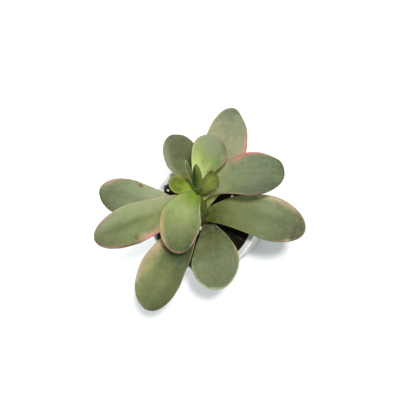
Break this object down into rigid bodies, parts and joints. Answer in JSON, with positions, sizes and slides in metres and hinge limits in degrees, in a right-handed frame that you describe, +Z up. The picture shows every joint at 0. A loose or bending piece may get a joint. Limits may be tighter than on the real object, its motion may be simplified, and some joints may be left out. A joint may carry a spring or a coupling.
{
  "type": "potted crassula",
  "caption": "Leaning crassula with crossed pairs of thick spoon-shaped leaves, growing in a small round white plastic nursery pot filled with dark soil.",
  "frame": {"origin": "centre of the pot's flat bottom, on the surface that it stands on", "axes": "+Z up the pot's axis, -Z out of its flat bottom; +X to the right and +Y to the back of the plant as the picture shows it from above"},
  "size_m": [0.12, 0.1114, 0.1194],
  "materials": {
    "white_plastic": "satin white moulded plastic",
    "dark_soil": "rough dark peat soil",
    "stem_skin": "matt olive green skin",
    "grown_leaf": "satin grey-green leaf with a thin bloom and pink margins",
    "young_leaf": "satin bright green leaf",
    "cream_grain": "rough cream grain"
  },
  "bodies": {
    "root": {"pot": "white_plastic", "soil": "dark_soil", "stem": "stem_skin", "leaf_low_front": "grown_leaf", "leaf_low_back": "grown_leaf", "leaf_second_right": "grown_leaf", "leaf_second_left": "grown_leaf", "leaf_third_back": "grown_leaf", "leaf_third_front": "grown_leaf", "leaf_fourth_right": "grown_leaf", "leaf_fourth_left": "grown_leaf", "leaf_fifth_back": "grown_leaf", "leaf_fifth_front": "grown_leaf", "young_leaf_left": "young_leaf", "young_leaf_right": "young_leaf", "tip_leaf_left": "young_leaf", "tip_leaf_right": "young_leaf", "perlite_front_left": "cream_grain", "perlite_front_right": "cream_grain", "gravel_back_left": "cream_grain", "gravel_left": "cream_grain", "gravel_right": "cream_grain"}
  },
  "joints": []
}
